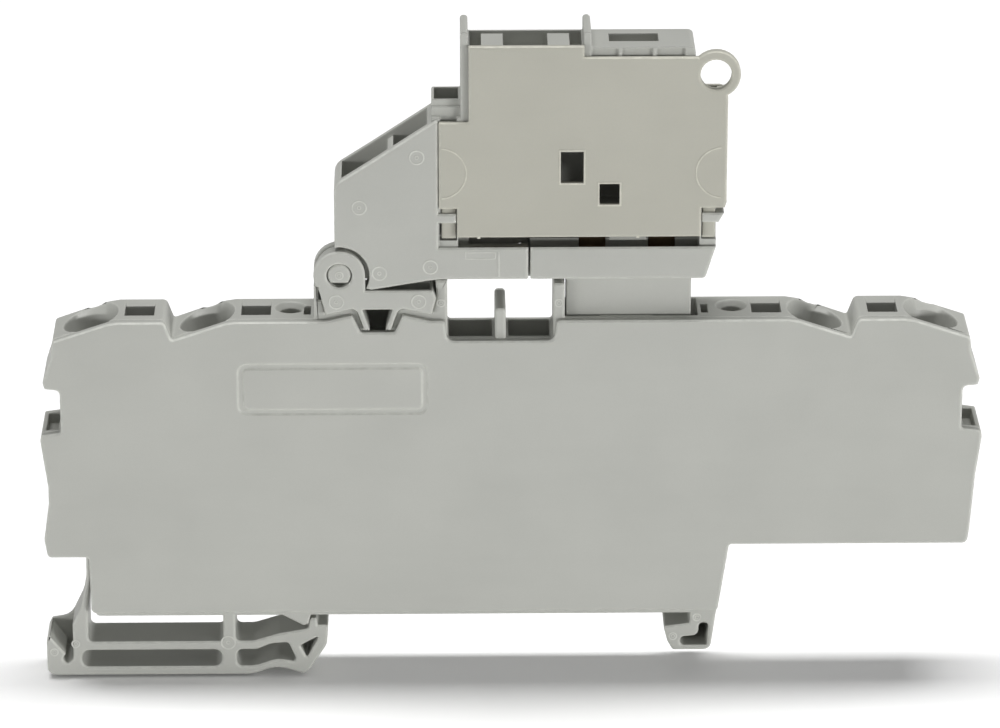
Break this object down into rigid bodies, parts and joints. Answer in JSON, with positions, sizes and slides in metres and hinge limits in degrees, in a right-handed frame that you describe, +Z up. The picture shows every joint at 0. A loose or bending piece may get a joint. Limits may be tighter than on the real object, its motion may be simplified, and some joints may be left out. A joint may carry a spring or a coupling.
{
  "type": "fuse terminal block",
  "caption": "Slim clip-on terminal block with conductor funnels along its top and a pivoting fuse holder whose cover lifts by a ring.",
  "frame": {"origin": "middle of the seat under the base, where the block sits on its mounting strip, halfway through the thickness", "axes": "+X along the block towards the hook, +Y through the thickness away from the end plate, +Z up from the seat"},
  "size_m": [0.0879, 0.0062, 0.0641],
  "materials": {
    "housing_grey": "fine matt moulded polyamide",
    "cover_grey": "fine matt moulded polyamide, slightly yellower",
    "tinned_copper": "tin-plated copper alloy, satin",
    "contact_brass": "stamped, satin",
    "spring_steel": "bright rolled strip",
    "cap_nickel": "nickel-plated, bright",
    "fuse_wire_tinned": "tinned wire",
    "fuse_glass": "clear drawn tube"
  },
  "bodies": {
    "base": {"base_housing": "housing_grey", "end_plate": "housing_grey", "hinge_bracket": "housing_grey", "busbar_left": "tinned_copper", "busbar_right": "tinned_copper", "jaw_contact_left": "contact_brass", "jaw_contact_right": "contact_brass", "clamp_spring_left_outer": "spring_steel", "clamp_spring_left_inner": "spring_steel", "clamp_spring_right_outer": "spring_steel", "clamp_spring_right_inner": "spring_steel"},
    "holder": {"holder_housing": "housing_grey", "plug_housing": "housing_grey", "fuse_contact_left": "contact_brass", "fuse_contact_right": "contact_brass", "fuse_glass_tube": "fuse_glass", "fuse_cap_left": "cap_nickel", "fuse_cap_right": "cap_nickel", "fuse_wire": "fuse_wire_tinned"},
    "cover": {"fuse_cover": "cover_grey"}
  },
  "joints": [
    {"name": "holder_pivot", "type": "hinge", "parent": "base", "child": "holder", "pos_m": [-0.01515, 0, 0.0346], "axis": [0, -1, 0], "range_deg": [0, 90]},
    {"name": "cover_slide", "type": "slide", "parent": "holder", "child": "cover", "axis": [0, 0, 1], "range_m": [0, 0.013]}
  ]
}
